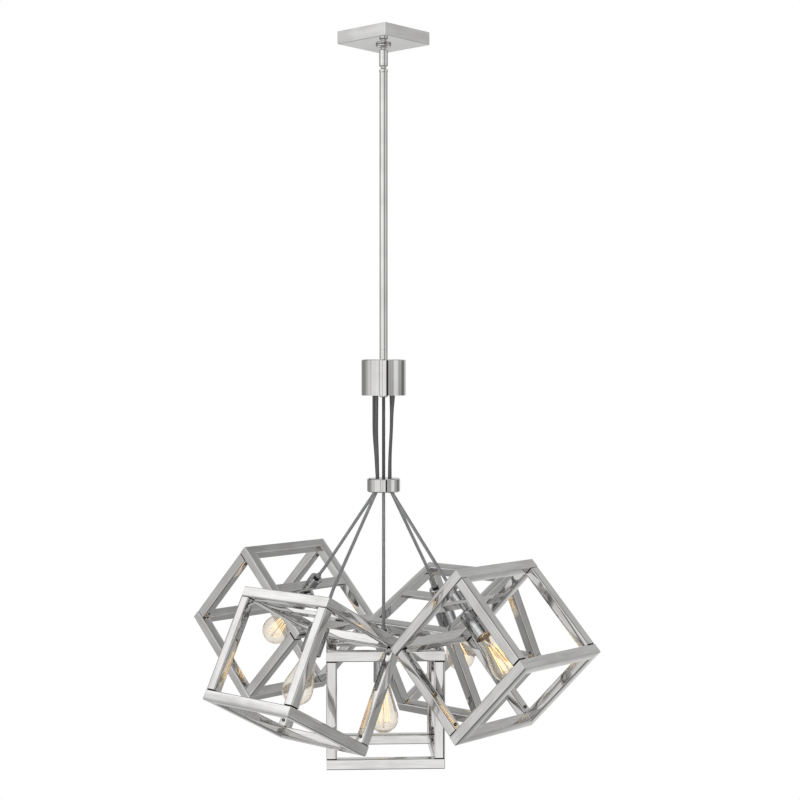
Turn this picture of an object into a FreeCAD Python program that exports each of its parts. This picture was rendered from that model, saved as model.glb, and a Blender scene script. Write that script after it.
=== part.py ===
"""Five-cage cluster chandelier: a ceiling canopy with a hang-straight swivel, a tube stem, a body
cup, five cords drawn through a gathering ring, and five open cube cages that nest together, each
with a lampholder and a pear-shaped filament lamp.

Frame: the origin is the centre of the ceiling plane, +Z is up and the object hangs in -Z.
+X points to the right cage and -Y to the front cage.  All lengths are millimetres.
"""
import FreeCAD, Part
import math
import os

Vec = FreeCAD.Vector
UP = Vec(0, 0, 1)
os.makedirs("parts", exist_ok=True)

# ---- driving dimensions: levels on the hanging axis, measured down from the ceiling -------------
canopy_width = 128.0
canopy_depth = 25.0
sheet = 1.5
collar_bottom = -30.0
ball_level = -20.0
coupling_top = -35.0
coupling_bottom = -68.0
stem_top = -80.0
stem_joint = -619.0
cup_top = -639.0
cup_height = 70.0
ring_top = -871.0
ring_height = 27.0
centre_top = -1192.0           # top face of the centre cage

# ---- driving dimensions: stem, cup, ring and cords ----------------------------------------------
tube_radius = 8.0
tube_wall = 1.2
cup_radius = 43.5
ring_radius = 32.5
cord_radius = 3.25
upper_hole_circle = 23.0       # circle of the four outer cords under the cup
ring_hole_circle = 17.0        # circle on which they enter the ring
pivot_circle = 21.0            # circle on which they leave the ring
swing = 15.0                   # largest outward swing of an outer cage, degrees

# ---- driving dimensions: one cage ---------------------------------------------------------------
cage = 225.0                   # outside edge of the cube
bar = 20.0                     # square tube of the frames and posts
bar_wall = 1.2
bar_edge = 2.0                 # outside corner radius of the square tube
seam_height = 1.2              # necked end of a post, which shows as a dark line at the frame
seam_depth = 0.8
crossbar_width = 20.0
crossbar_thick = 8.0
crossbar_edge = 0.8
rest_gap = 2.0                 # air between the outer cages' inner bars and the centre cage
steep_tilt = 45.0              # right and left cages
shallow_tilt = 28.0            # front and back cages
steep_reach = 120.0            # from the axis to the inner top edge of the right and left cages
shallow_reach = 65.0

# ---- driving dimensions: lampholder and lamp, in the cage's own frame ---------------------------
knuckle_radius = 13.5
knuckle_height = 20.0
sleeve_height = 11.0
nipple_radius = 5.0
holder_radius = 20.0
holder_bottom = -80.0
base_radius = 13.1             # E26 screw shell
glass_radius = 29.0            # 58 mm pear lamp
glass_wide_level = -151.0
glass_tip = -180.0
glass_wall = 0.8

cup_bottom = cup_top - cup_height
ring_bottom = ring_top - ring_height


# ---- helpers ------------------------------------------------------------------------------------
def save(node, pieces):
    """Write one node, checking that every solid in it is sound."""
    solids = [solid for piece in pieces for solid in piece.Solids]
    for solid in solids:
        if not solid.isValid() or solid.Volume <= 0:
            raise ValueError(node + " holds a bad solid")
    shape = solids[0] if len(solids) == 1 else Part.makeCompound(solids)
    shape.exportStep("parts/" + node + ".step")


def lathe(points):
    """Solid turned about the Z axis from a closed outline of (radius, level) points."""
    corners = [Vec(radius, 0, level) for radius, level in points]
    outline = Part.makePolygon(corners + corners[:1])
    return Part.Face(outline).revolve(Vec(0, 0, 0), UP, 360)


def disc(radius, low, high, hole=0.0):
    """Round plate or ring between two levels on the Z axis."""
    solid = Part.makeCylinder(radius, high - low, Vec(0, 0, low))
    if hole:
        solid = solid.cut(Part.makeCylinder(hole, high - low + 2, Vec(0, 0, low - 1)))
    return solid


def block(low, high):
    """Box between two opposite corners."""
    size = high - low
    return Part.makeBox(size.x, size.y, size.z, low)


def tube_along(points, radius, name):
    """Round tube along straight runs joined by tangent arcs; each arc is as large as its runs allow."""
    edges = []
    start = points[0]
    for before, corner, after in zip(points, points[1:], points[2:]):
        run_in = corner - before
        run_out = after - corner
        turn = run_in.getAngle(run_out)
        trim = 0.45 * min(run_in.Length, run_out.Length)
        bend = trim / math.tan(turn / 2)
        print(name, "bend radius", round(bend, 1), "mm, turn", round(math.degrees(turn), 1))
        run_in.normalize()
        run_out.normalize()
        arc_start = corner - run_in * trim
        arc_end = corner + run_out * trim
        inward = (run_out - run_in).normalize()
        middle = corner + inward * (bend / math.cos(turn / 2) - bend)
        edges.append(Part.LineSegment(start, arc_start).toShape())
        edges.append(Part.Arc(arc_start, middle, arc_end).toShape())
        start = arc_end
    edges.append(Part.LineSegment(start, points[-1]).toShape())
    path = Part.Wire(edges)
    section = Part.Wire([Part.makeCircle(radius, points[0], points[1] - points[0])])
    solid = path.makePipeShell([section], True, False)
    expected = math.pi * radius ** 2 * path.Length
    if abs(solid.Volume / expected - 1) > 0.01:
        raise ValueError(name + " volume does not match its section times its length")
    print(name, "length", round(path.Length, 1), "mm")
    return solid


# ---- the square-tube pieces of a cage -----------------------------------------------------------
def round_edges(solid, direction, radius):
    """Fillet the straight edges of a bar that run along its length."""
    edges = [e for e in solid.Edges if abs(e.tangentAt(e.FirstParameter).dot(direction)) > 0.99]
    return solid.makeFillet(radius, edges)


def mitred_tube():
    """One side of a square frame: tube along X below Z = 0, mitred at 45 degrees at both ends."""
    half = cage / 2
    trapezium = [Vec(-half, -half, 0), Vec(half, -half, 0), Vec(half - bar, bar - half, 0),
                 Vec(bar - half, bar - half, 0)]
    mitre = Part.Face(Part.makePolygon(trapezium + trapezium[:1])).extrude(Vec(0, 0, -bar))
    outside = round_edges(block(Vec(-half, -half, -bar), Vec(half, bar - half, 0)), Vec(1, 0, 0), bar_edge)
    inside = block(Vec(-cage, bar_wall - half, bar_wall - bar),
                   Vec(cage, bar - bar_wall - half, -bar_wall))
    return outside.cut(inside).common(mitre)


def square_frame(level):
    """Four mitred tubes round a square, top face at a level."""
    sides = []
    for quarter in range(4):
        side = mitred_tube()
        side.rotate(Vec(0, 0, 0), UP, 90 * quarter)
        side.translate(Vec(0, 0, level))
        sides.append(side)
    return sides


def crossbar():
    """Flat bar across the middle of the top frame, drilled for the lampholder's nipple."""
    reach = cage / 2 - bar
    flat = block(Vec(-crossbar_width / 2, -reach, -crossbar_thick), Vec(crossbar_width / 2, reach, 0))
    flat = round_edges(flat, Vec(0, 1, 0), crossbar_edge)
    return flat.cut(disc(nipple_radius + 0.2, -crossbar_thick - 1, 1))


screw_inset = 12.0             # from a post's end to its screw
screw_head = 3.2
screw_head_height = 1.8
screw_head_edge = 0.9
screw_shank = 1.5
screw_length = 5.0
screw_clearance = 0.1


def post_corners():
    """Centre of each post and the direction in X that looks into the cage."""
    middle = (cage - bar) / 2
    return [(Vec(x * middle, y * middle, 0), Vec(-x, 0, 0)) for x in (-1, 1) for y in (-1, 1)]


def screw_levels():
    """Levels of the screws near the two ends of a post."""
    return (-bar - screw_inset, bar + screw_inset - cage)


def posts():
    """Four square tubes between the two frames, drilled for their end screws."""
    tubes = []
    for centre, inward in post_corners():
        reach = Vec(bar / 2, bar / 2, 0)
        hollow = Vec(bar / 2 - bar_wall, bar / 2 - bar_wall, 0)
        low = bar - cage
        tube = block(centre - reach + Vec(0, 0, low), centre + reach + Vec(0, 0, -bar))
        tube = round_edges(tube, UP, bar_edge)
        neck = Vec(bar / 2 - seam_depth, bar / 2 - seam_depth, 0)
        for start in (low, -bar - seam_height):
            collar = block(centre - reach + Vec(0, 0, start), centre + reach + Vec(0, 0, start + seam_height))
            core = block(centre - neck + Vec(0, 0, start), centre + neck + Vec(0, 0, start + seam_height))
            core = round_edges(core, UP, bar_edge)
            tube = tube.cut(collar.cut(core))
        bore = block(centre - hollow + Vec(0, 0, -cage), centre + hollow)
        tube = tube.cut(bore)
        for level in screw_levels():
            drill = Part.makeCylinder(screw_shank + screw_clearance, bar, centre + Vec(0, 0, level), inward)
            tube = tube.cut(drill)
        tubes.append(tube)
    return tubes


def end_screws():
    """Button-head screws on the inner faces of the posts, two to a post."""
    screws = []
    for centre, inward in post_corners():
        for level in screw_levels():
            face = centre + inward * (bar / 2) + Vec(0, 0, level)
            head = Part.makeCylinder(screw_head, screw_head_height, face, inward)
            head = head.makeFillet(screw_head_edge, [head.Edges[0]])
            shank = Part.makeCylinder(screw_shank, screw_length, face - inward * screw_length, inward)
            screws.append(head.fuse(shank).removeSplitter())
    return screws


# ---- the lampholder and lamp --------------------------------------------------------------------
knuckle_edge = 1.5
nipple_bottom = -23.0
neck_outside = 7.0             # husk's narrow neck under the crossbar
neck_bottom = -19.0
shoulder_radius = 17.0
shoulder_level = -23.0
cup_level = -28.0              # top of the husk's straight side
husk_wall = 1.4
thread_clearance = 0.1
shell_clearance = 0.3
shell_wall = 1.2
shell_top = -50.0


def knuckle():
    """Turned cap on the crossbar, with the threaded nipple that clamps the lampholder below it."""
    return lathe([(0, knuckle_height), (knuckle_radius - knuckle_edge, knuckle_height),
                  (knuckle_radius, knuckle_height - knuckle_edge), (knuckle_radius, knuckle_edge),
                  (knuckle_radius - knuckle_edge, 0), (nipple_radius, 0),
                  (nipple_radius, nipple_bottom), (0, nipple_bottom)])


def lampholder():
    """Husk with a narrow neck, a flared shoulder and the screw socket inside its cup."""
    bore = nipple_radius + thread_clearance
    shell = base_radius + shell_clearance
    inside = holder_radius - husk_wall
    roof = cup_level - 1
    foot = holder_bottom + 2
    return lathe([(bore, -crossbar_thick), (neck_outside, -crossbar_thick), (neck_outside, neck_bottom),
                  (shoulder_radius, shoulder_level), (holder_radius - 0.6, cup_level + 3),
                  (holder_radius, cup_level), (holder_radius, holder_bottom + 1),
                  (holder_radius - 0.4, holder_bottom), (inside, holder_bottom), (inside, roof),
                  (shell + shell_wall, roof), (shell + shell_wall, foot), (shell, foot),
                  (shell, shell_top), (bore, shell_top)])


base_top = -50.5
base_bottom = -77.5            # where the glass is cemented in
contact_radius = 4.5
insulator_radius = 9.5
insulator_bottom = -53.0
thread_top = -54.5
thread_pitch = 3.6
thread_turns = 5
thread_depth = 0.7
skirt = 0.5                    # how far the plain skirt is inside the threads


def lamp_base():
    """Screw shell with rounded threads and a centre contact."""
    outline = [(0, base_top), (contact_radius, base_top), (insulator_radius, insulator_bottom)]
    for turn in range(thread_turns):
        level = thread_top - turn * thread_pitch
        outline += [(base_radius - thread_depth, level), (base_radius, level - 0.3 * thread_pitch),
                    (base_radius, level - 0.7 * thread_pitch)]
    thread_bottom = thread_top - thread_turns * thread_pitch
    outline += [(base_radius - skirt, thread_bottom - skirt), (base_radius - skirt, base_bottom),
                (0, base_bottom)]
    return lathe(outline)


glass_shoulders = ((12.4, base_bottom), (14.2, -91.0), (19.6, -112.0), (25.8, -133.0))


def glass_outline(inset):
    """Half outline of the lamp glass: a neck that swells to the widest level, and a rounded end."""
    widest = glass_radius - inset
    depth = glass_wide_level - glass_tip - inset
    points = [Vec(radius - inset, 0, level) for radius, level in glass_shoulders]
    points.append(Vec(widest, 0, glass_wide_level))
    for degrees in (30, 60, 90):
        angle = math.radians(degrees)
        points.append(Vec(widest * math.cos(angle), 0, glass_wide_level - depth * math.sin(angle)))
    points[-1].x = 0
    outline = Part.BSplineCurve()
    outline.interpolate(Points=points, InitialTangent=Vec(0, 0, -1), FinalTangent=Vec(-1, 0, 0))
    return outline.toShape(), points[0], points[-1]


def lamp_glass():
    """Thin blown shell, open only at the neck where the base closes it."""
    outer, outer_top, outer_low = glass_outline(0)
    inner, inner_top, inner_low = glass_outline(glass_wall)
    lip = Part.LineSegment(inner_top, outer_top).toShape()
    pole = Part.LineSegment(outer_low, inner_low).toShape()
    edges = Part.__sortEdges__([outer, pole, inner, lip])
    shell = Part.Face(Part.Wire(edges)).revolve(Vec(0, 0, 0), UP, 360)
    if shell.Volume < 0:
        shell.reverse()
    return shell


# ---- where each cage hangs ----------------------------------------------------------------------
def hang(azimuth, tilt, reach):
    """Placement of a cage whose inner top bar lies just above the centre cage."""
    lean = math.radians(tilt)
    level = centre_top + rest_gap + bar * math.cos(lean)
    centre = Vec(reach + cage / 2 * math.cos(lean), 0, level + cage / 2 * math.sin(lean))
    turn = FreeCAD.Rotation(UP, azimuth)
    return FreeCAD.Placement(turn.multVec(centre),
                             turn.multiply(FreeCAD.Rotation(Vec(0, 1, 0), -tilt)))


placements = {
    "right": hang(0, steep_tilt, steep_reach),
    "back": hang(90, shallow_tilt, shallow_reach),
    "left": hang(180, steep_tilt, steep_reach),
    "front": hang(270, shallow_tilt, shallow_reach),
    "centre": FreeCAD.Placement(Vec(0, 0, centre_top), FreeCAD.Rotation(UP, -45)),
}
azimuths = {"right": 0, "back": 90, "left": 180, "front": 270}


def cord_pivot(name):
    """Point just inside the ring's underside about which a cage and its cord swing."""
    if name == "centre":
        return Vec(0, 0, ring_bottom + 1)
    turn = FreeCAD.Rotation(UP, azimuths[name])
    return turn.multVec(Vec(pivot_circle, 0, ring_bottom + 1))


last_run = 22.0                # straight cord above the sleeve, on the cage's own axis


def cord_route(name):
    """Taut cord from the ring to the sleeve; its last short run lies on the cage's own axis."""
    sleeve_top = knuckle_height + sleeve_height
    foot = placements[name].multVec(Vec(0, 0, sleeve_top))
    knee = placements[name].multVec(Vec(0, 0, sleeve_top + last_run))
    if name == "centre":
        return [cord_pivot(name), foot]
    return [cord_pivot(name), knee, foot]


sleeve_foot = 6.5
sleeve_step = 4.0
sleeve_waist = 5.4
sleeve_tip = 4.2


def lower_cord(name):
    """Cord with a rounded upper end that rolls in the ring, and its moulded sleeve at the knuckle."""
    route = cord_route(name)
    tube = tube_along(route, cord_radius, name + "_cord")
    tube = tube.fuse(Part.makeSphere(cord_radius, route[0])).removeSplitter()
    low = knuckle_height
    high = knuckle_height + sleeve_height
    sleeve = lathe([(0, low), (sleeve_foot, low), (sleeve_foot, low + sleeve_step),
                    (sleeve_waist, low + sleeve_step + 1), (sleeve_tip, high), (0, high)])
    sleeve.Placement = placements[name]
    return [tube, sleeve]


# ---- the cages ----------------------------------------------------------------------------------
for name, placement in placements.items():
    pieces = {
        "top_frame": square_frame(0) + [crossbar()],
        "bottom_frame": square_frame(bar - cage),
        "posts": posts(),
        "post_screws": end_screws(),
        "knuckle": [knuckle()],
        "lampholder": [lampholder()],
        "lamp_base": [lamp_base()],
        "lamp_glass": [lamp_glass()],
    }
    for piece, solids in pieces.items():
        for solid in solids:
            solid.Placement = placement.multiply(solid.Placement)
        save(name + "_" + piece, solids)
    save(name + "_cord", lower_cord(name))

# ---- the gathering ring: a turned puck with a flared outlet for each cord ------------------------
edge = 2.0
outlet_length = 30.0
outlet_flare = 3.0             # degrees each side, for the centre cord
outlet_spare = 1.5             # degrees beyond half the swing, for the outer cords
ball_clearance = 0.75
ring = lathe([(0, ring_bottom), (ring_radius - edge, ring_bottom), (ring_radius, ring_bottom + edge),
              (ring_radius, ring_top - edge), (ring_radius - edge, ring_top), (0, ring_top)])
for name in placements:
    pivot = cord_pivot(name)
    direction = cord_route(name)[1] - pivot
    flare = math.radians(outlet_flare)
    if name != "centre":
        sideways = FreeCAD.Rotation(UP, azimuths[name]).multVec(Vec(0, 1, 0))
        direction = FreeCAD.Rotation(sideways, -swing / 2).multVec(direction)
        flare = math.radians(swing / 2 + outlet_spare)
    socket = cord_radius + ball_clearance
    mouth = socket + outlet_length * math.tan(flare)
    ring = ring.cut(Part.makeSphere(socket, pivot))
    ring = ring.cut(Part.makeCone(socket, mouth, outlet_length, pivot, direction))
save("gathering_ring", [ring])

# ---- the upper cords: four with a little slack, and a straight one on the axis -------------------
upper_levels = (cup_bottom, -745.0, -783.0, -825.0, ring_top)
upper_routes = {               # at each level: distance from the axis, and drift to the left of it
    "right": ((upper_hole_circle, 3.4), (22.5, -0.7), (20.5, -0.3), (17.6, -0.7), (ring_hole_circle, 0)),
    "back": ((upper_hole_circle, 0.9), (22.5, -0.5), (21.0, -1.2), (18.4, 0), (ring_hole_circle, 0)),
    "left": ((upper_hole_circle, 2.8), (22.5, 3.3), (21.5, 4.3), (19.0, 1.7), (ring_hole_circle, 0)),
    "front": ((upper_hole_circle, 3.4), (22.5, 2.3), (21.0, 0.6), (18.6, 0.3), (ring_hole_circle, 0)),
}
bushing_height = 3.5
upper_cords = [disc(cord_radius, ring_top, cup_bottom - bushing_height)]
for name, offsets in upper_routes.items():
    turn = FreeCAD.Rotation(UP, azimuths[name])
    route = [turn.multVec(Vec(out, aside, level)) for (out, aside), level in zip(offsets, upper_levels)]
    cord = tube_along(route, cord_radius, name + "_upper_cord")
    slab = block(Vec(-60, -60, ring_top), Vec(60, 60, cup_bottom))
    upper_cords.append(cord.common(slab))
save("upper_cords", upper_cords)

# ---- the body cup and its bottom plate with the centre cord's bushing ----------------------------
cup_edge = 1.5
stem_hole = 5.0                # in the cup's top, under the end of the stem
cup = lathe([(stem_hole, cup_top), (cup_radius - cup_edge, cup_top), (cup_radius, cup_top - cup_edge),
             (cup_radius, cup_bottom), (cup_radius - sheet, cup_bottom),
             (cup_radius - sheet, cup_top - sheet - 0.6), (stem_hole, cup_top - sheet)])
save("body_cup", [cup])
plate_gap = 0.2
plate_thick = 2.0
plate_edge = cup_radius - sheet - plate_gap
bushing_radius = 8.0
bushing_edge = 1.2
bushing_low = cup_bottom - bushing_height
plate = lathe([(0, bushing_low), (bushing_radius - bushing_edge, bushing_low),
               (bushing_radius, bushing_low + bushing_edge), (bushing_radius, cup_bottom),
               (plate_edge, cup_bottom), (plate_edge, cup_bottom + plate_thick),
               (0, cup_bottom + plate_thick)])
save("body_plate", [plate])

# ---- the stem: upper tube, lower tube, and the turned check ring above it ------------------------
joint_line = 0.3               # the visible line where the two tubes meet
spigot_length = 12.0
spigot_bore = tube_radius - 2.6
spigot_radius = tube_radius - tube_wall - 0.1
save("stem_tube", [disc(tube_radius, stem_joint + joint_line, stem_top, tube_radius - tube_wall)])
spigot = [(spigot_bore, stem_joint + spigot_length), (spigot_bore, cup_top), (tube_radius, cup_top),
          (tube_radius, stem_joint - joint_line), (tube_radius - 0.5, stem_joint),
          (spigot_radius, stem_joint), (spigot_radius, stem_joint + spigot_length)]
save("stem_end", [lathe(spigot)])
wire_bore = 3.5
check_radius = 8.5
waist_radius = 5.2
check_profile = ((waist_radius, coupling_bottom), (waist_radius, -70.5), (6.8, -72.2), (8.3, -73.0),
                 (check_radius, -74.0), (check_radius, -78.4), (8.0, -79.2), (6.9, -79.2),
                 (6.9, stem_top))
check = [(wire_bore, coupling_bottom)] + list(check_profile) + [(wire_bore, stem_top)]
save("stem_ring", [lathe(check)])

# ---- the swivel: ball on a footed neck, seat, threaded hub, and the coupling that turns ----------
ball_radius = 10.0
seat_radius = 11.2
running = 0.05
neck_radius = 5.0
foot_radius = 6.4
foot_low = -52.0
foot_high = -48.0
centre_of_swivel = Vec(0, 0, ball_level)
ball = Part.makeSphere(ball_radius, centre_of_swivel)
neck = disc(neck_radius, foot_high, ball_level)
foot = disc(foot_radius, foot_low, foot_high)
ball_bore = 2.5
wire_way = disc(ball_bore, foot_low - 1, 0)
save("swivel_ball", [ball.fuse([neck, foot]).removeSplitter().cut(wire_way)])

seat_depth = 7.3               # how far below the ball's centre the seat reaches
seat_rise = 3.0                # and how far above it
hub_opening = 8.2              # radius of the hub's lower opening, which holds the seat in
seat = Part.makeSphere(seat_radius, centre_of_swivel)
seat = seat.cut(Part.makeSphere(ball_radius + running, centre_of_swivel))
zone = block(Vec(-seat_radius - 1, -seat_radius - 1, ball_level - seat_depth),
             Vec(seat_radius + 1, seat_radius + 1, ball_level + seat_rise))
save("swivel_seat", [seat.common(zone)])

hub_radius = 13.0
hub_top = -7.5
hub_nipple = 4.9
hub_bore = 2.8
strap = 2.5
hub = disc(hub_radius, collar_bottom + 0.5, hub_top)
hub = hub.fuse(disc(hub_nipple, hub_top, -0.2)).removeSplitter()
hub = hub.cut(Part.makeSphere(seat_radius + running, centre_of_swivel))
hub = hub.cut(disc(hub_opening, collar_bottom - 1, ball_level - seat_depth + 0.2))
hub = hub.cut(disc(hub_bore, ball_level, 1))
save("swivel_hub", [hub])

collar_radius = 15.5
collar_edge = 1.2
collar_bore = hub_radius + thread_clearance
collar = lathe([(collar_bore, collar_bottom + 0.2), (collar_bore + 0.7, collar_bottom),
                (collar_radius - collar_edge, collar_bottom), (collar_radius, collar_bottom + 1.5),
                (collar_radius, collar_bottom + 3.5), (collar_radius - 1, -canopy_depth),
                (collar_bore, -canopy_depth)])
save("screw_collar", [collar])

coupling_radius = 8.6
coupling_edge = 1.5
neck_bore = neck_radius + running
foot_room = foot_radius + 0.4
foot_roof = foot_high + 0.3
body = lathe([(neck_bore, coupling_top), (coupling_radius - coupling_edge, coupling_top),
              (coupling_radius, coupling_top - coupling_edge),
              (coupling_radius, coupling_bottom + coupling_edge),
              (coupling_radius - coupling_edge, coupling_bottom), (wire_bore, coupling_bottom),
              (wire_bore, foot_low - 6), (foot_room, foot_low - 3), (foot_room, foot_roof),
              (neck_bore, foot_roof)])
save("coupling", [body])

# ---- the canopy, and the strap and locknut that hold the hub to the ceiling box ------------------
half = canopy_width / 2
corner_radius = 2.0
outside = block(Vec(-half, -half, -canopy_depth), Vec(half, half, 0))
pressed = [e for e in outside.Edges if e.CenterOfMass.z < -1]
outside = outside.makeFillet(corner_radius, pressed)
inner = half - sheet
inside = block(Vec(-inner, -inner, sheet - canopy_depth), Vec(inner, inner, 1))
hub_clearance = 0.3
canopy = outside.cut(inside).cut(disc(hub_radius + hub_clearance, -canopy_depth - 1, 1))
save("canopy", [canopy])

strap_length = 112.0
strap_width = 22.0
slot_spacing = 88.9
slot_half_width = 2.4
slot_length = 12.0
bracket = block(Vec(-strap_length / 2, -strap_width / 2, -strap), Vec(strap_length / 2, strap_width / 2, 0))
nipple_hole = 5.0
bracket = bracket.cut(disc(nipple_hole, -strap - 1, 1))
for side in (-1, 1):
    straight = slot_length / 2 - slot_half_width
    middle = side * slot_spacing / 2
    slot = block(Vec(middle - straight, -slot_half_width, -strap - 1),
                 Vec(middle + straight, slot_half_width, 1))
    for end in (-1, 1):
        slot = slot.fuse(Part.makeCylinder(slot_half_width, strap + 2,
                                           Vec(middle + end * straight, 0, -strap - 1)))
    bracket = bracket.cut(slot.removeSplitter())
save("ceiling_bracket", [bracket])

across_flats = 16.0
nut_bottom = hub_top + 0.5
nut_corner = across_flats / math.sqrt(3)
hexagon = [Vec(nut_corner * math.cos(math.radians(60 * k)), nut_corner * math.sin(math.radians(60 * k)),
               nut_bottom) for k in range(6)]
nut = Part.Face(Part.makePolygon(hexagon + hexagon[:1])).extrude(Vec(0, 0, -strap - nut_bottom))
save("hub_locknut", [nut.cut(disc(nipple_hole, hub_top - 1, 0))])

for name, placement in placements.items():
    print(name, "pivot", [round(v, 2) for v in cord_pivot(name)],
          "top centre", [round(v, 2) for v in placement.Base])
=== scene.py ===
import math

import bmesh
import bpy
import numpy as np
from mathutils import Matrix, Vector


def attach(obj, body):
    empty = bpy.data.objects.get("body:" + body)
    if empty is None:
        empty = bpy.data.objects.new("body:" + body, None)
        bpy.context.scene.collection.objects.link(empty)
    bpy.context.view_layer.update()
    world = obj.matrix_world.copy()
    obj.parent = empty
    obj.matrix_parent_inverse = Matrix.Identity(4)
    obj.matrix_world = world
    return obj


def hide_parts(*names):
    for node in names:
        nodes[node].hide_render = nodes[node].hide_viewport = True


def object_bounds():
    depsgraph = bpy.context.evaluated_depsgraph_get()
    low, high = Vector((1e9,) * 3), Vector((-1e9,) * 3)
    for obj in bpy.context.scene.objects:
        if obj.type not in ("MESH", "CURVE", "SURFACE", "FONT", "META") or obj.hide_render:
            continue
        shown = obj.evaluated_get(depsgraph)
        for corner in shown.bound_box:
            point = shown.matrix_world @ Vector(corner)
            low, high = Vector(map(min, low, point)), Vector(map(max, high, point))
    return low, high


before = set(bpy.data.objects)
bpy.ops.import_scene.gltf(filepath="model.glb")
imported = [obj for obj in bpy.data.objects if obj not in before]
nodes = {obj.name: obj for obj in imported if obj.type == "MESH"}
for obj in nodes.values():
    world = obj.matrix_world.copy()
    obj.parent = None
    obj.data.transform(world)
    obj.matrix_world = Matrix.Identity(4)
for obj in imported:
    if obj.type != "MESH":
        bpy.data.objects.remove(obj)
cad_low, cad_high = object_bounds()
scene = bpy.context.scene
cages = ("right", "back", "left", "front", "centre")

# ---- camera -------------------------------------------------------------------------------------
# A portrait lens a little below the middle of the stem, looking at the corner of the canopy,
# so that the cages are seen from slightly above and the canopy from below.
camera_place = Vector((2.128, -2.299, -0.665))
camera_heading = math.radians(132.2)
camera_pitch = math.radians(0.97)
lens = bpy.data.cameras.new("camera")
lens.lens = 72.0
lens.sensor_width = 36.0
camera = bpy.data.objects.new("camera", lens)
scene.collection.objects.link(camera)
sight = Vector((math.cos(camera_heading) * math.cos(camera_pitch),
                math.sin(camera_heading) * math.cos(camera_pitch), -math.sin(camera_pitch)))
camera.location = camera_place
camera.rotation_mode = "QUATERNION"
camera.rotation_quaternion = sight.to_track_quat("-Z", "Y")
scene.camera = camera

# ---- canopy and hang-straight swivel ------------------------------------------------------------
# The canopy is pressed from sheet and plated with polished nickel, as are the collar, the swivel
# and the coupling below it.  It is held up by the collar, which screws on to the swivel's hub.


class Shade:
    """A socket of a material's node tree; arithmetic on it adds Math nodes."""

    def __init__(self, tree, socket=None):
        self.tree = tree
        self.socket = socket

    def node(self, kind, settings=None, **inputs):
        """Add a node: its type, its settings, then values or links by socket name, or by place as i0."""
        made = self.tree.nodes.new(kind)
        for key, value in (settings or {}).items():
            setattr(made, key, value)
        for key, value in inputs.items():
            by_place = key[0] == "i" and key[1:].isdigit()
            socket = made.inputs[int(key[1:]) if by_place else key.replace("_", " ")]
            if isinstance(value, Shade):
                self.tree.links.new(value.socket, socket)
            else:
                socket.default_value = value
        return made

    def out(self, made, output=0):
        """One output of a node, as a Shade."""
        return Shade(self.tree, made.outputs[output])

    def feed(self, shader, name):
        """Link this value to a socket of the shader."""
        self.tree.links.new(self.socket, shader.inputs[name])

    def math(self, operation, *values):
        """One Math node on this tree."""
        sockets = {"i%d" % k: value for k, value in enumerate(values)}
        return self.out(self.node("ShaderNodeMath", {"operation": operation}, **sockets))

    def __add__(self, other):
        return self.math("ADD", self, other)

    __radd__ = __add__

    def __sub__(self, other):
        return self.math("SUBTRACT", self, other)

    def __rsub__(self, other):
        return self.math("SUBTRACT", other, self)

    def __mul__(self, other):
        return self.math("MULTIPLY", self, other)

    __rmul__ = __mul__

    def size(self):
        """Absolute value."""
        return self.math("ABSOLUTE", self)

    def clear_to(self, low, high):
        """0 below low, 1 above high, smooth between."""
        return self.out(self.node("ShaderNodeMapRange", {"interpolation_type": "SMOOTHSTEP"},
                                  Value=self, From_Min=low, From_Max=high))

    def moved(self, turn=(0, 0, 0), shift=(0, 0, 0), stretch=(1, 1, 1)):
        """This place stretched, turned and then shifted."""
        return self.out(self.node("ShaderNodeMapping", None, Vector=self, Rotation=turn, Location=shift,
                                  Scale=stretch))

    def axes(self):
        """The x, y and z of this place."""
        made = self.node("ShaderNodeSeparateXYZ", None, Vector=self)
        return [self.out(made, k) for k in range(3)]

    def noise(self, feature, detail=2.0, stretch=(1, 1, 1)):
        """Noise of about that feature size in metres over this place, finer along stretched axes."""
        made = self.node("ShaderNodeTexNoise", None, Vector=self.moved(stretch=stretch),
                         Scale=1 / feature, Detail=detail)
        return self.out(made, "Fac")

    def between(self, first, second):
        """Colour that goes from first to second as this value goes from 0 to 1."""
        return self.out(self.node("ShaderNodeMix", {"data_type": "RGBA"}, i0=self, i6=first, i7=second), 2)

    def pick(self, first, second):
        """Number that goes from first to second as this value goes from 0 to 1."""
        return first + (second - first) * self

    def bump(self, metres=1.0):
        """Normal of a surface that stands out by this value times a number of metres."""
        return self.out(self.node("ShaderNodeBump", None, Height=self, Distance=metres, Strength=1.0))


def new_material(name):
    """An empty material: the material, the object's own coordinates, and its Principled shader."""
    material = bpy.data.materials.new(name)
    material.use_nodes = True
    tree = material.node_tree
    coordinates = Shade(tree).node("ShaderNodeTexCoord")
    return material, Shade(tree, coordinates.outputs["Object"]), tree.nodes["Principled BSDF"]


def wear(material, *names):
    """Put one material on CAD nodes, in place of the plain one."""
    for name in names:
        nodes[name].data.materials.clear()
        nodes[name].data.materials.append(material)


nickel_bright, nickel_warm = (0.755, 0.752, 0.745, 1), (0.60, 0.592, 0.578, 1)
mirror_rough = 0.02            # roughness where the plate is wiped clean
haze_rough = 0.06              # how much rougher the cloudiest marks are
grain_size, grain_height = 0.0015, 0.0000006


def plate(place, shader, streak, wave, bright=nickel_bright, warm=nickel_warm):
    """Polished plate.  Its colour and roughness follow the polisher's streaks and cloudy wipe
    marks, and its normal a wave left by grinding, given as a height in metres."""
    shader.inputs["Metallic"].default_value = 1.0
    clouds = place.noise(0.060, 4.0)
    marks = (clouds * 0.45 + streak * 0.55).clear_to(0.34, 0.68)
    marks.between(bright, warm).feed(shader, "Base Color")
    (marks * haze_rough + mirror_rough).feed(shader, "Roughness")
    (wave + place.noise(grain_size, 2.0) * grain_height).bump().feed(shader, "Normal")
    return marks


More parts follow.
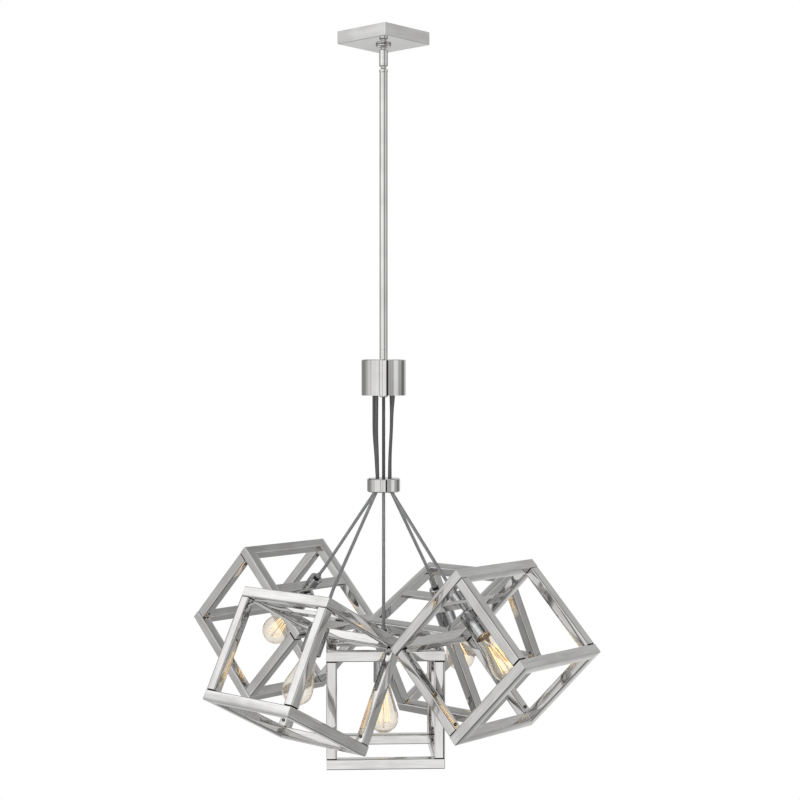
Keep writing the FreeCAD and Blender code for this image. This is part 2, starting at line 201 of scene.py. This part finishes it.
mark_size, wave_size = 0.012, 0.040
wiped_across, pressed_wave = (0.1, 0.1, 1), 0.00010
nickel, place, shader = new_material("polished_nickel")
plate(place, shader, place.noise(mark_size, 3.0, wiped_across), place.noise(wave_size, 1.0) * pressed_wave)
wear(nickel, "canopy", "screw_collar", "swivel_hub", "swivel_ball", "coupling")

zinc_pale, zinc_dull = (0.62, 0.63, 0.64, 1), (0.46, 0.46, 0.45, 1)
spangle_size, zinc_rough, spangle_rough = 0.004, 0.28, 0.2
zinc, place, shader = new_material("zinc_plate")
shader.inputs["Metallic"].default_value = 1.0
spangle = place.noise(spangle_size, 4.0)
spangle.between(zinc_pale, zinc_dull).feed(shader, "Base Color")
(spangle * spangle_rough + zinc_rough).feed(shader, "Roughness")
wear(zinc, "ceiling_bracket", "hub_locknut")

nylon_dark, nylon_pale = (0.80, 0.79, 0.74, 1), (0.88, 0.87, 0.83, 1)
nylon_grain, nylon_rough, nylon_grain_rough = 0.002, 0.45, 0.15
nylon, place, shader = new_material("seat_nylon")
grain = place.noise(nylon_grain, 3.0)
grain.between(nylon_dark, nylon_pale).feed(shader, "Base Color")
(grain * nylon_grain_rough + nylon_rough).feed(shader, "Roughness")
wear(nylon, "swivel_seat")

# ---- stem, body cup and gathering ring ----------------------------------------------------------
# Drawn tube, a spun drum with its bottom plate, and a turned puck, all polished and plated.  Marks
# run along the stem.  The cup is screwed to the stem's end, and the ring only holds the cords.
wiped_along, waves_along, turned_wave = (1, 1, 0.02), (1, 1, 0.1), 0.00003
turned_nickel, place, shader = new_material("turned_nickel")
wave = place.noise(wave_size, 1.0, waves_along)
plate(place, shader, place.noise(mark_size, 3.0, wiped_along), wave * turned_wave)
wear(turned_nickel, "stem_ring", "stem_tube", "stem_end", "body_cup", "body_plate", "gathering_ring")

# ---- the cages' own directions ------------------------------------------------------------------
# Each lamp hangs square under the middle of its cage's crossbar, so the lampholder and the glass
# give the cage's downward direction, and the lampholder's mouth a point on the lamp's axis.
cage_size = 0.225
bar = 0.020
mouth_below_top = 0.080
centre_heading = math.radians(45)  # of the centre cage's crossbar


def vertices_of(name):
    """Every different vertex of a CAD node, as an array of places in metres."""
    mesh = nodes[name].data
    places = np.empty(len(mesh.vertices) * 3, np.float32)
    mesh.vertices.foreach_get("co", places)
    return np.unique(np.round(places.reshape(-1, 3).astype(float), 6), axis=0)


def cage_frame(cage):
    """Rows x, y, z of a cage's own axes, z up its lamp and y along its crossbar, and the point
    where the lamp's axis leaves the cage's top face."""
    holder = vertices_of(cage + "_lampholder")
    middle = holder.mean(axis=0)
    down = vertices_of(cage + "_lamp_glass").mean(axis=0) - middle
    down /= np.linalg.norm(down)
    mouth = middle + down * ((holder - middle) @ down).max()
    along = np.cross((0, 0, 1), down)
    if np.linalg.norm(along) < 0.1:
        along = np.array((math.cos(centre_heading), math.sin(centre_heading), 0))
    along /= np.linalg.norm(along)
    return np.array((np.cross(along, -down), along, -down)), mouth - down * mouth_below_top


frames = {cage: cage_frame(cage) for cage in cages}


def cage_place(place, cage):
    """A cage's own coordinates, from the middle of its top face, as a Shade."""
    rows, top = frames[cage]
    return place.moved(turn=Matrix(rows.tolist()).to_euler(), shift=tuple(-rows @ top))


# ---- cube cages ---------------------------------------------------------------------------------
# Square steel tube, mitred and welded into two square frames, with four posts screwed between them
# and a flat crossbar across the top.  All is ground, polished along its length and nickel plated.
crown = 0.00020                # how far the middle of a drawn tube's face stands out
roll = 0.00030                 # how far the last millimetres beside its edges fall away
wave_height = 0.00030          # of the grinder's waves along a bar
streaked = 0.06                # a polishing streak's width over its length
mitre_blend = 0.0002           # half the width over which streaks turn at a mitre


def bar_material(cage, part):
    """Plate over square tube.  With p and q from -1 to 1 across the tube's section, the face falls
    away by crown p2 + roll p8, and the same in q, as a drawn tube's does.  Streaks run along each
    tube, and turn at a frame's mitres."""
    material, place, shader = new_material("polished_nickel_" + cage + "_" + part)
    own = cage_place(place, cage)
    x, y, z = own.axes()
    to_middle = (cage_size - bar) / 2
    half_bar = bar / 2
    fine, coarse = (0.0035, 3.0), (0.045, 1.0)
    if part == "posts":
        sections = [axis.size() - to_middle for axis in (x, y)]
        streak = own.noise(*fine, (1, 1, streaked))
        wave = own.noise(*coarse, (1, 1, 0.5))
    else:
        level = -half_bar if part == "top_frame" else half_bar - cage_size
        out = x.math("MAXIMUM", x.size(), y.size())
        sections = [x.math("MAXIMUM", out - to_middle, -half_bar), z - level]
        limit = x.math("MAXIMUM", x.size(), to_middle - half_bar)
        along_x = (y.size() - limit).clear_to(-mitre_blend, mitre_blend)
        streak = along_x.pick(own.noise(*fine, (1, streaked, 1)), own.noise(*fine, (streaked, 1, 1)))
        wave = own.noise(*coarse)
    fall = 0
    for section in sections:
        square = section * section * (1 / half_bar ** 2)
        fall = square * crown + square.math("POWER", square, 4.0) * roll + fall
    marks = plate(own, shader, streak, wave * wave_height - fall)
    return material, shader, z, marks


for cage in cages:
    for part in ("top_frame", "bottom_frame"):
        wear(bar_material(cage, part)[0], cage + "_" + part)

# Dark flux and dust in the posts' necked ends, with painted shade for the groove's shadow, show as a thin
# line at each frame.
seam = 0.0012
seam_fade = 1.3                # the line's outside edge over its half width
seam_dirt_and_painted_shade, seam_dirt_and_shade_rough = (0.012, 0.012, 0.012, 1), 0.5
for cage in cages:
    material, shader, z, marks = bar_material(cage, "posts")
    upper = (z + bar).size().clear_to(seam, seam * seam_fade)
    lower = (z + (cage_size - bar)).size().clear_to(seam, seam * seam_fade)
    beside_dark_line = upper * lower
    colour = shader.inputs["Base Color"].links[0].from_socket
    # Near-black at each post end: part dirt, part painted shade in the groove.
    beside_dark_line.between(seam_dirt_and_painted_shade, Shade(z.tree, colour)).feed(shader, "Base Color")
    (marks * haze_rough + (1 - beside_dark_line) * seam_dirt_and_shade_rough + mirror_rough).feed(shader, "Roughness")
    wear(material, cage + "_posts")

# ---- post screws --------------------------------------------------------------------------------
# Steel button-head screws with a six-sided socket, two to each post on the face that looks into the
# cage.  Their plated heads are coloured dark as painted shade, lighter in random patches where rubbed.
screw_inset = 0.012
head_radius = 0.0032
head_height = 0.0018
head_edge = 0.0009
socket_half_width = 0.00110
socket_floor = 0.0007
socket_chamfer = 1.35          # the chamfer's mouth over the socket's half width
chamfer_low = 0.95             # the chamfer's lower edge over the head's height


def turned(profile, turns=48, six_sided=()):
    """Surface of revolution: point (r, z) of the profile goes to (r cos a, r sin a, z) for equal
    steps of a.  On a six-sided row r is divided by the cosine of a's angle to the nearest flat."""
    profile = np.asarray(profile, float)
    angle = np.arange(turns) * 2 * np.pi / turns
    radius = profile[:, :1] * np.ones(turns)
    radius[list(six_sided)] /= np.cos((angle + np.pi / 6) % (np.pi / 3) - np.pi / 6)
    level = profile[:, 1:] * np.ones(turns)
    points = np.stack((radius * np.cos(angle), radius * np.sin(angle), level), axis=-1).reshape(-1, 3)
    row = np.arange(len(profile) - 1)[:, None] * turns
    step = np.arange(turns)[None, :]
    after = (step + 1) % turns
    faces = np.stack((row + step, row + after, row + turns + after, row + turns + step), axis=-1)
    return points, faces.reshape(-1, 4)


def to_world(cage, points):
    """Points of a cage's own frame, from the middle of its top face, in the object's frame."""
    rows, top = frames[cage]
    return points @ rows + top


def piece(name, parts, material, smooth=True):
    """One mesh object from (points, quads) parts; poles are merged and faces turned outwards."""
    points = np.concatenate([some for some, _ in parts])
    starts = np.cumsum([0] + [len(some) for some, _ in parts[:-1]])
    faces = np.concatenate([quads + start for (_, quads), start in zip(parts, starts)])
    mesh = bpy.data.meshes.new(name)
    mesh.from_pydata(points.tolist(), [], faces.tolist())
    work = bmesh.new()
    work.from_mesh(mesh)
    bmesh.ops.remove_doubles(work, verts=work.verts, dist=1e-7)
    bmesh.ops.recalc_face_normals(work, faces=work.faces)
    work.to_mesh(mesh)
    work.free()
    mesh.polygons.foreach_set("use_smooth", [smooth] * len(mesh.polygons))
    mesh.materials.append(material)
    made = bpy.data.objects.new(name, mesh)
    scene.collection.objects.link(made)
    return made


def screw_heads():
    """Eight heads on a cage's posts: one turned head, its axis laid along the cage's x."""
    arc = np.linspace(0, np.pi / 2, 5)
    flat = head_radius - head_edge
    rim = np.stack((flat + head_edge * np.cos(arc), head_height - head_edge + head_edge * np.sin(arc)), 1)
    rows = [(0, 0), (head_radius, 0), *rim, (socket_chamfer * socket_half_width, head_height),
            (socket_half_width, chamfer_low * head_height), (socket_half_width, socket_floor),
            (0, socket_floor)]
    points, faces = turned(rows, 24, (8, 9))
    to_middle = (cage_size - bar) / 2
    heads = []
    for side in (-1, 1):
        for aside in (-1, 1):
            for level in (-bar - screw_inset, bar + screw_inset - cage_size):
                face = (side * (to_middle - bar / 2), aside * to_middle, level)
                laid = np.stack((-side * points[:, 2], points[:, 0], points[:, 1]), axis=1)
                heads.append((laid + face, faces))
    return heads


painted_shade_dark, rubbed = (0.10, 0.10, 0.102, 1), (0.34, 0.34, 0.34, 1)
rub_size, painted_shade_rough, rub_polish = 0.0010, 0.30, 0.1
screw_steel, place, shader = new_material("plated_steel_painted_dark")
shader.inputs["Metallic"].default_value = 1.0
# The heads' dark colour is painted shade; the noise lets lighter rubbed plate through in patches.
worn = place.noise(rub_size, 3.0).clear_to(0.42, 0.62)
worn.between(painted_shade_dark, rubbed).feed(shader, "Base Color")
(worn * -rub_polish + painted_shade_rough).feed(shader, "Roughness")
for cage in cages:
    heads = [(to_world(cage, points), faces) for points, faces in screw_heads()]
    screws = piece(cage + "_screw_heads", heads, screw_steel, False)
    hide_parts(cage + "_post_screws")
    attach(screws, cage + "_cage")

# ---- cords --------------------------------------------------------------------------------------
# Round flexible cord with an extruded grey jacket.  The upper five run from the cup to the ring's
# top, a little slack; the lower five are taut and end in a black grommet on the knuckle.
knuckle_height = 0.020
grommet_height = 0.0045
grommet_edge = 0.0003          # over which its black gives way to the jacket
grommet_black = (0.010, 0.010, 0.011, 1)
slack_pale, slack_dark = (0.160, 0.162, 0.166, 1), (0.085, 0.086, 0.090, 1)
taut_pale, taut_dark = (0.43, 0.433, 0.44, 1), (0.24, 0.243, 0.25, 1)
flow_size, flow_height, flow_along = 0.0014, 0.00005, (1, 1, 0.03)
dust_size, jacket_rough, dust_rough = 0.018, 0.30, 0.12


def jacket(name, pale, dark, along):
    """Extruded plastic: fine flow lines along the cord, and a little dust.  Returns the material,
    its coordinates and shader, and the jacket's colour."""
    material, place, shader = new_material(name)
    turn = Vector(along).to_track_quat("Z", "Y").inverted().to_euler()
    flow = place.moved(turn=turn).noise(flow_size, 2.0, flow_along)
    dust = place.noise(dust_size, 4.0).clear_to(0.45, 0.75)
    tint = (flow * 0.6 + dust * 0.4).between(dark, pale)
    tint.feed(shader, "Base Color")
    (dust * dust_rough + jacket_rough).feed(shader, "Roughness")
    flow.bump(flow_height).feed(shader, "Normal")
    return material, place, shader, tint


wear(jacket("cord_jacket_upper", slack_pale, slack_dark, (0, 0, 1))[0], "upper_cords")
for cage in cages:
    ends = vertices_of(cage + "_cord")
    along = ends[ends[:, 2].argmax()] - ends[ends[:, 2].argmin()]
    material, place, shader, tint = jacket("cord_jacket_" + cage, taut_pale, taut_dark, along)
    level = cage_place(place, cage).axes()[2]
    grommet_top = knuckle_height + grommet_height
    on_cord = level.clear_to(grommet_top - grommet_edge, grommet_top)
    on_cord.between(grommet_black, tint).feed(shader, "Base Color")
    wear(material, cage + "_cord")

# ---- knuckles and lampholders -------------------------------------------------------------------
# Turned brass with bright chrome plate: a knuckle on the crossbar, and a husk round the socket.
# A dark joint line shows where the husk's neck enters its shoulder.
neck_joint = -0.0190
joint_line = 0.00035
joint_fade = 1.4               # the line's outside edge over its half width
joint_dark = (0.02, 0.02, 0.02, 1)
chrome_bright, chrome_dull = (0.58, 0.584, 0.59, 1), (0.44, 0.444, 0.45, 1)
ring_mark_size, chrome_wave_size, chrome_wave = 0.003, 0.012, 0.00006
for cage in cages:
    chrome, place, shader = new_material("bright_chrome_" + cage)
    own = cage_place(place, cage)
    level = own.axes()[2]
    rings = own.noise(ring_mark_size, 3.0, wiped_across)
    wave = own.noise(chrome_wave_size, 1.0) * chrome_wave
    plate(own, shader, rings, wave, chrome_bright, chrome_dull)
    beside_dark_line = (level - neck_joint).size().clear_to(joint_line, joint_line * joint_fade)
    colour = Shade(level.tree, shader.inputs["Base Color"].links[0].from_socket)
    beside_dark_line.between(joint_dark, colour).feed(shader, "Base Color")
    wear(chrome, cage + "_knuckle", cage + "_lampholder")

# A moulded phenolic ring closes each husk's mouth round the screw shell.
phenolic_dark, phenolic_pale = (0.060, 0.034, 0.018, 1), (0.130, 0.075, 0.040, 1)
fleck_size, phenolic_rough, fleck_rough = 0.0015, 0.35, 0.2
phenolic, place, shader = new_material("phenolic_brown")
fleck = place.noise(fleck_size, 4.0)
fleck.between(phenolic_dark, phenolic_pale).feed(shader, "Base Color")
(fleck * fleck_rough + phenolic_rough).feed(shader, "Roughness")
ring_bore, ring_outside, ring_depth, ring_round = 0.0137, 0.0184, 0.0036, 0.0008
ring_above_mouth = 0.0006
lip = [(ring_bore, ring_depth), (ring_bore, ring_round), (ring_bore + ring_round / 2, 0),
       (ring_outside - ring_round, 0), (ring_outside, ring_round), (ring_outside, ring_depth),
       (ring_bore, ring_depth)]
mouth = np.array((0, 0, -mouth_below_top))
for cage in cages:
    points, faces = turned(lip)
    points = to_world(cage, points + mouth + (0, 0, ring_above_mouth))
    ring = piece(cage + "_socket_ring", [(points, faces)], phenolic)
    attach(ring, cage + "_cage")

# ---- filament lamps -----------------------------------------------------------------------------
# A blown pear of clear glass with a faint amber cast, cemented into a brass screw shell.  Inside,
# a drawn glass mount carries two wire spiders, and a long filament zigzags between them.
glass_refraction = 1.5
blown_size, blown_height, blown_rough = 0.020, 0.00006, 0.02
rim_blend = 0.30
glass_middle, painted_rim_amber = (0.955, 0.945, 0.915, 1), (0.54, 0.48, 0.39, 1)
lit_amber, lit_strength = (1.0, 0.66, 0.32, 1), 0.018  # stands for the haze of light in the glass
glass, place, shader = new_material("lamp_glass")
shader.inputs["Transmission Weight"].default_value = 1.0
shader.inputs["IOR"].default_value = glass_refraction
streak = place.noise(blown_size, 2.0)
# Darker amber towards the rim as the glass turns away: painted edge darkening that stands for refraction
# and reflection in the rim.
rim = place.out(place.node("ShaderNodeLayerWeight", None, Blend=rim_blend), "Facing")
painted_rim_darkening = rim * 0.85 + streak * 0.15
painted_rim_darkening.between(glass_middle, painted_rim_amber).feed(shader, "Base Color")
shader.inputs["Emission Color"].default_value = lit_amber
shader.inputs["Emission Strength"].default_value = lit_strength
(streak * blown_rough).feed(shader, "Roughness")
streak.bump(blown_height).feed(shader, "Normal")
wear(glass, *(cage + "_lamp_glass" for cage in cages))

brass_bright, brass_stained = (0.72, 0.52, 0.25, 1), (0.55, 0.37, 0.16, 1)
stain_size, brass_rough, stain_rough = 0.006, 0.14, 0.25
brass, place, shader = new_material("lamp_brass")
shader.inputs["Metallic"].default_value = 1.0
stain = place.noise(stain_size, 4.0)
stain.between(brass_bright, brass_stained).feed(shader, "Base Color")
(stain * stain_rough + brass_rough).feed(shader, "Roughness")
wear(brass, *(cage + "_lamp_base" for cage in cages))

wire_colour, wire_rough, coil_rough = (0.80, 0.55, 0.28, 1), 0.3, 0.2
coil_size, filament_strength = 0.0008, 1.3
glow_deep, glow_pale = (1.0, 0.60, 0.22, 1), (1.0, 0.74, 0.40, 1)
filament, place, shader = new_material("filament")
shader.inputs["Base Color"].default_value = wire_colour
shader.inputs["Metallic"].default_value = 1.0
shader.inputs["Emission Strength"].default_value = filament_strength
coil = place.noise(coil_size, 1.0)
coil.between(glow_deep, glow_pale).feed(shader, "Emission Color")
(coil * coil_rough + wire_rough).feed(shader, "Roughness")

mount_cast, draw_size, mount_rough, draw_rough = (0.90, 0.84, 0.72, 1), 0.004, 0.02, 0.1
mount_glass, place, shader = new_material("mount_glass")
shader.inputs["Base Color"].default_value = mount_cast
shader.inputs["Transmission Weight"].default_value = 1.0
shader.inputs["IOR"].default_value = glass_refraction
(place.noise(draw_size) * draw_rough + mount_rough).feed(shader, "Roughness")

scale_dark, scale_pale = (0.26, 0.21, 0.16, 1), (0.42, 0.34, 0.24, 1)
scale_size, support_rough = 0.002, 0.35
support_wire, place, shader = new_material("support_wire")
shader.inputs["Metallic"].default_value = 1.0
shader.inputs["Roughness"].default_value = support_rough
place.noise(scale_size).between(scale_dark, scale_pale).feed(shader, "Base Color")

strands = 12
upper_level, lower_level = -0.022, -0.080
upper_radius, lower_radius = 0.0065, 0.0135
filament_radius, arm_radius, rod_radius = 0.00045, 0.0003, 0.0012
arm_rise = 0.0015


def filament_path():
    """Closed zigzag: at parameter t the angle is 2 pi t, and the height swings between the two
    spiders as a cosine of strands/2 turns, with the radius following the height."""
    t = np.linspace(0, 1, strands * 16 + 1)
    swing = np.cos(np.pi * strands * t)
    share = (1 - np.sign(swing) * np.abs(swing) ** 0.75) / 2
    radius = upper_radius + (lower_radius - upper_radius) * share
    height = upper_level + (lower_level - upper_level) * share
    angle = 2 * np.pi * t
    return np.stack((radius * np.cos(angle), radius * np.sin(angle), height), axis=-1)[None]


def spider(level, reach, arms):
    """Arms from the mount's rod out to the filament's bends, each rising as its length squared."""
    angle = np.arange(arms)[:, None] * 2 * np.pi / arms
    t = np.linspace(0, 1, 5)
    radius = rod_radius + (reach - rod_radius) * t
    height = np.broadcast_to(level + arm_rise * t ** 2, (arms, len(t)))
    return np.stack((radius * np.cos(angle), radius * np.sin(angle), height), axis=-1)


def swept(paths, radius, sides=8):
    """Round wires along paths (n, steps, 3): each step carries a circle of the radius, square to
    the path's direction there; the ends are closed by a point.  Returns points and quads."""
    along = np.gradient(paths, axis=1)
    along /= np.linalg.norm(along, axis=2, keepdims=True)
    start = np.where(np.abs(along[..., 2:]) < 0.9, (0.0, 0.0, 1.0), (1.0, 0.0, 0.0))
    first = np.cross(start, along)
    first /= np.linalg.norm(first, axis=2, keepdims=True)
    second = np.cross(along, first)
    angle = np.arange(sides)[:, None] * 2 * np.pi / sides
    ring = first[:, :, None] * np.cos(angle) + second[:, :, None] * np.sin(angle)
    count, steps = paths.shape[:2]
    scale = np.full((steps, 1, 1), radius)
    scale[[0, -1]] = 0.0
    points = paths[:, :, None] + ring * scale
    base = (np.arange(count)[:, None, None] * steps + np.arange(steps - 1)[None, :, None]) * sides
    side = np.arange(sides)[None, None, :]
    after = (side + 1) % sides
    faces = np.stack((base + side, base + after, base + sides + after, base + sides + side), axis=-1)
    return points.reshape(-1, 3), faces.reshape(-1, 4)


rod = [(0.0, 0.004), (0.0062, 0.004), (0.0056, -0.004), (0.0036, -0.011), (0.0020, -0.017),
       (0.0016, -0.024), (0.0014, -0.060), (0.0015, -0.080), (0.0021, -0.086), (0.0016, -0.090),
       (0.0, -0.091)]
inner_parts = {
    "filament": (filament, "lamp_brass", [swept(filament_path(), filament_radius)]),
    "lamp_mount": (mount_glass, "lamp_glass", [turned(rod, 24)]),
    "lamp_spiders": (support_wire, "lamp_brass", [
        swept(spider(level, reach, strands // 2), arm_radius, 6)
        for level, reach in ((upper_level, upper_radius), (lower_level, lower_radius))]),
}
for cage in cages:
    for name, (material, slot, shapes) in inner_parts.items():
        placed = [(to_world(cage, points + mouth), faces) for points, faces in shapes]
        part = piece(cage + "_" + name, placed, material)
        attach(part, cage + "_cage")

# ---- studio -------------------------------------------------------------------------------------
# A pale round floor well below, and a round room of soft panels and a few dark cards, which only
# give light and reflections.  The floor's edge melts into the white air behind it.
floor_drop = 1.6
floor_radius = 5.0
melt_start, melt_end = 0.20 * floor_radius, 0.85 * floor_radius
floor_level = cad_low.z - floor_drop
floor_dull, floor_pale = (0.86, 0.86, 0.86, 1), (0.90, 0.90, 0.90, 1)
cloud_size, floor_rough = 0.4, 0.8
pale, place, shader = new_material("pale_floor")
place.noise(cloud_size).between(floor_dull, floor_pale).feed(shader, "Base Color")
shader.inputs["Roughness"].default_value = floor_rough
from_middle = place.out(place.node("ShaderNodeVectorMath", {"operation": "LENGTH"},
                                   i0=place.moved(shift=(0, 0, -floor_level))), "Value")
air = place.node("ShaderNodeEmission", None, Strength=1.0)
faded = from_middle.clear_to(melt_start, melt_end) * 0.5 + 0.5
melt = place.node("ShaderNodeMixShader", None, i0=faded)
for shown, socket in ((shader, 1), (air, 2)):
    place.tree.links.new(shown.outputs[0], melt.inputs[socket])
place.tree.links.new(melt.outputs[0], place.tree.nodes["Material Output"].inputs["Surface"])
hoop = np.linspace(0.0, floor_radius, 24)
points, faces = turned(np.stack((hoop, 0 * hoop), axis=-1), 96)
floor = piece("floor", [(points + (0, 0, floor_level), faces)], pale, False)
floor.visible_glossy = False

# Panels: heading and height of the middle, half width, half height, soft edge (degrees), glow.
panels = (
    (0, 0, 360, 42, 10, 0.48),
    (180, 0, 22, 20, 10, 0.25),
    (135, 0, 26, 24, 10, 0.56),
    (-143, -2, 10, 24, 6, 0.50),
    (-124, -2, 10, 24, 6, 0.68),
    (-92, -3, 22, 28, 8, 0.86),
    (-100, 16, 26, 11, 7, 1.05),
    (-142, 31, 24, 12, 7, 1.02),
    (-54, -2, 16, 30, 6, 0.82),
    (-12, 0, 17, 32, 4, 0.42),
    (20, 2, 12, 32, 5, 0.78),
    (48, -10, 10, 16, 6, 0.36),
    (48, 14, 10, 12, 6, 0.52),
    (72, 0, 14, 22, 6, 0.17),
    (104, -35, 7, 6, 4, 0.66),
    (-42, 0, 8, 32, 3, 0.85),
    (-28, 0, 5, 34, 2, 0.02),
    (-152, 0, 3, 30, 2, 0.22),
    (-116, 0, 2, 30, 2, 0.38),
    (-53, 0, 1, 34, 1, 0.30),
    (-68, 0, 1, 34, 1, 0.10),
    (-20, 50, 80, 4, 4, 0.03),
    (-20, -50, 80, 4, 4, 0.03),
    (-175, -30, 10, 10, 5, 0.03),
    (170, 34, 8, 10, 5, 0.03),
)
brightness = 1.22
# Glow between the panels, at each of these heights: darker straight down, brighter straight up.
open_heights, open_glow = (-64, -52, 55, 72), (0.14, 0.28, 0.28, 0.50)


def room_glow(direction):
    """Glow of the studio in a direction: dim, brighter straight up and darker straight down; each
    panel is laid over what is there with a soft rectangular edge in heading and height.  Plate
    takes away more than a quarter of the light, which the brightness makes up for."""
    heading = np.degrees(np.arctan2(direction[:, 1], direction[:, 0]))
    height = np.degrees(np.arcsin(np.clip(direction[:, 2], -1, 1)))
    glow = np.interp(height, open_heights, open_glow)
    for across, up, half_across, half_up, edge, level in panels:
        off = np.abs((heading - across + 180) % 360 - 180) - half_across
        over = np.abs(height - up) - half_up
        inside = np.clip(0.5 - off / edge, 0, 1) * np.clip(0.5 - over / edge, 0, 1)
        glow = glow + (level - glow) * inside
    return glow * brightness


room_radius = 7.0
middle = (cad_low + cad_high) / 2
height = np.linspace(-np.pi / 2, np.pi / 2, 91)
points, faces = turned(np.stack((np.cos(height), np.sin(height)), axis=-1), 360)
room_light, place, shader = new_material("studio_panels")
stored = place.out(place.node("ShaderNodeAttribute", {"attribute_name": "glow"}), "Fac")
lamp = place.node("ShaderNodeEmission", None, Strength=stored)
place.tree.links.new(lamp.outputs[0], place.tree.nodes["Material Output"].inputs["Surface"])
room = piece("studio_room", [(points * room_radius + tuple(middle), faces)], room_light)
places = np.array([vertex.co for vertex in room.data.vertices]) - tuple(middle)
glow = room.data.attributes.new("glow", "FLOAT", "POINT")
glow.data.foreach_set("value", room_glow(places / room_radius))
room.visible_camera = False
room.visible_transmission = False
room.visible_shadow = False

world = bpy.data.worlds.new("studio_air")
world.use_nodes = True
world.node_tree.nodes["Background"].inputs["Color"].default_value = (1, 1, 1, 1)
world.node_tree.nodes["Background"].inputs["Strength"].default_value = 1.0
scene.world = world
scene.view_settings.view_transform = "Standard"
scene.view_settings.look = "None"
scene.cycles.max_bounces = 16
scene.cycles.transmission_bounces = 16
scene.cycles.glossy_bounces = 10
